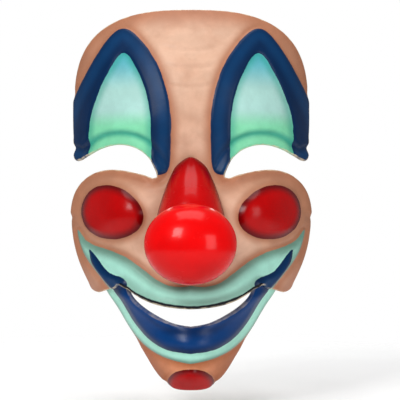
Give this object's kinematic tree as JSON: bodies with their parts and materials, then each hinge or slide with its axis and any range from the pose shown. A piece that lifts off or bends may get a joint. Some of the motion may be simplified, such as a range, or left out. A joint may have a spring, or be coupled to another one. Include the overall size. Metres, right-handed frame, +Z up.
{
  "type": "clown face mask",
  "caption": "Moulded latex clown face mask with open eyes, a hinged spring-back jaw, a hollow glossy nose, foam pads and two adjustable elastic head straps.",
  "frame": {"origin": "midway between the wearer's eyes, on the mask's middle plane", "axes": "-Y is the way the face looks, +Z up, +X the wearer's left"},
  "size_m": [0.1908, 0.2796, 0.2953],
  "materials": {
    "painted_latex": "satin",
    "red_latex": "gloss",
    "nose_gloss": "gloss",
    "foam": "matte",
    "strap_elastic": "matte",
    "rubber_ring": "matte",
    "black_plastic": "satin",
    "spring_steel": "satin"
  },
  "bodies": {
    "face": {"face_shell": "painted_latex", "nose_bridge": "red_latex", "nose_ball": "nose_gloss", "nose_snap_ring": "black_plastic", "hinge_stud_left": "black_plastic", "hinge_stud_right": "black_plastic", "push_nut_left": "spring_steel", "push_nut_right": "spring_steel", "elastic_post_left": "black_plastic", "elastic_post_right": "black_plastic", "jaw_elastic_left": "rubber_ring", "jaw_elastic_right": "rubber_ring", "forehead_pad": "foam", "cheek_pad_left": "foam", "cheek_pad_right": "foam", "temple_loop_left": "black_plastic", "temple_loop_right": "black_plastic", "cheek_loop_left": "black_plastic", "cheek_loop_right": "black_plastic", "temple_strap": "strap_elastic", "cheek_strap": "strap_elastic"},
    "jaw": {"jaw_shell": "painted_latex", "chin_cup": "foam"},
    "temple_adjuster": {"temple_adjuster": "black_plastic"},
    "cheek_adjuster": {"cheek_adjuster": "black_plastic"}
  },
  "joints": [
    {"name": "jaw_hinge", "type": "hinge", "parent": "face", "child": "jaw", "pos_m": [0, 0.031, -0.078], "axis": [1, 0, 0], "range_deg": [0, 12], "stiffness_Nm_per_rad": 0.15, "springref_deg": -34.38, "deforming": ["jaw_elastic_left", "jaw_elastic_right"]},
    {"name": "temple_adjuster_slide", "type": "slide", "parent": "face", "child": "temple_adjuster", "axis": [0, 1, 0], "range_m": [-0.016, 0.016]},
    {"name": "cheek_adjuster_slide", "type": "slide", "parent": "face", "child": "cheek_adjuster", "axis": [0, 1, 0], "range_m": [-0.016, 0.016]}
  ]
}
